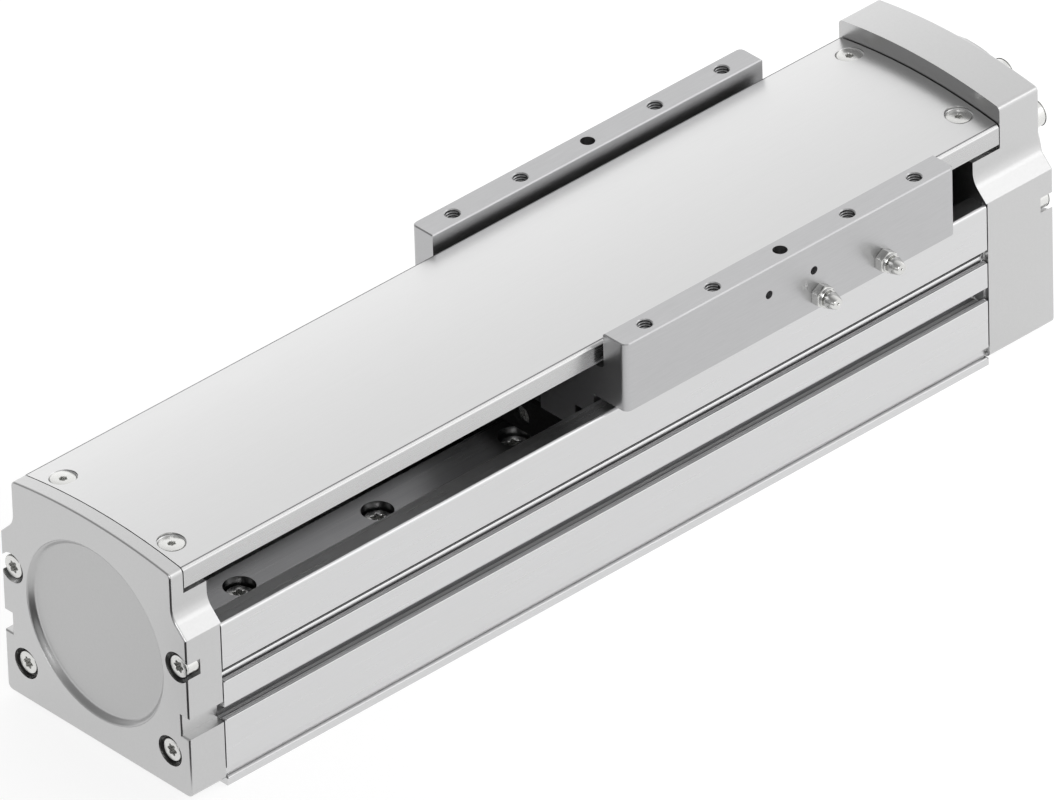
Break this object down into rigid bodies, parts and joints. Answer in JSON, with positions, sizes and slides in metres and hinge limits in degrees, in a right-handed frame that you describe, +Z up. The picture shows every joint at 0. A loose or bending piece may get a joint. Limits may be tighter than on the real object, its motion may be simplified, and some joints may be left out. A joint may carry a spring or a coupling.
{
  "type": "ball screw linear axis",
  "caption": "Covered linear axis: a slide with two side bars runs on a rail in an extruded barrel, driven by a ball screw.",
  "frame": {"origin": "middle of the barrel's underside", "axes": "+X along the travel towards the drive end, +Y across, +Z up through the cover"},
  "size_m": [0.4123, 0.11, 0.0949],
  "materials": {
    "anodised_barrel": "anodised, fine lengthwise lines",
    "bead_blasted_caps": "bead blasted and anodised",
    "anodised_cover": "satin anodised",
    "anodised_slide": "satin anodised",
    "ground_rail_steel": "ground",
    "block_steel": "ground",
    "plated_screws": "zinc plated",
    "plated_nipples": "bright plated",
    "bearing_steel": "polished",
    "black_plastic": "moulded",
    "black_rubber": "moulded"
  },
  "bodies": {
    "base": {"barrel": "anodised_barrel", "end_cap": "bead_blasted_caps", "drive_cap": "bead_blasted_caps", "cover_plate": "anodised_cover", "guide_rail": "ground_rail_steel", "rail_screws": "plated_screws", "end_cap_screws": "plated_screws", "drive_cap_screws": "plated_screws", "cover_screws": "plated_screws", "bearing_flange": "bead_blasted_caps", "flange_screws": "plated_screws", "floating_bearing_outer_ring": "bearing_steel", "fixed_bearing_inside_outer_ring": "bearing_steel", "fixed_bearing_outside_outer_ring": "bearing_steel", "shaft_seal": "black_rubber", "end_buffers": "black_rubber"},
    "carriage": {"slide_carriage": "anodised_slide", "guide_block_idle": "block_steel", "guide_block_drive": "block_steel", "block_ends_idle": "black_plastic", "block_ends_drive": "black_plastic", "block_seals_idle": "black_rubber", "block_seals_drive": "black_rubber", "port_screws": "plated_screws", "block_screws": "plated_screws", "nut_housing": "anodised_slide", "nut_housing_screws": "plated_screws", "ball_nut": "bearing_steel", "nut_wipers": "black_plastic", "nut_screws": "plated_screws", "grease_nipples": "plated_nipples"},
    "screw": {"ball_screw": "bearing_steel", "floating_bearing_inner_ring": "bearing_steel", "fixed_bearing_inside_inner_ring": "bearing_steel", "fixed_bearing_outside_inner_ring": "bearing_steel", "retaining_ring": "bearing_steel", "lock_nut": "bearing_steel"},
    "bearing_ball_sets": {"floating_bearing_balls": "bearing_steel", "fixed_bearing_inside_balls": "bearing_steel", "fixed_bearing_outside_balls": "bearing_steel"}
  },
  "joints": [
    {"name": "carriage_travel", "type": "slide", "parent": "base", "child": "carriage", "axis": [1, 0, 0], "range_m": [-0.15, 0]},
    {"name": "screw_spin", "type": "hinge", "parent": "base", "child": "screw", "pos_m": [0, 0, 0.0565], "axis": [1, 0, 0], "range_deg": [0, 5400]},
    {"name": "bearing_ball_orbit", "type": "hinge", "parent": "base", "child": "bearing_ball_sets", "pos_m": [0, 0, 0.0565], "axis": [1, 0, 0], "range_deg": [0, 1988]}
  ],
  "couplings": [
    {"joint": "screw_spin", "follows": "carriage_travel", "rad_per_m": -628.32},
    {"joint": "bearing_ball_orbit", "follows": "carriage_travel", "rad_per_m": -231.22}
  ]
}
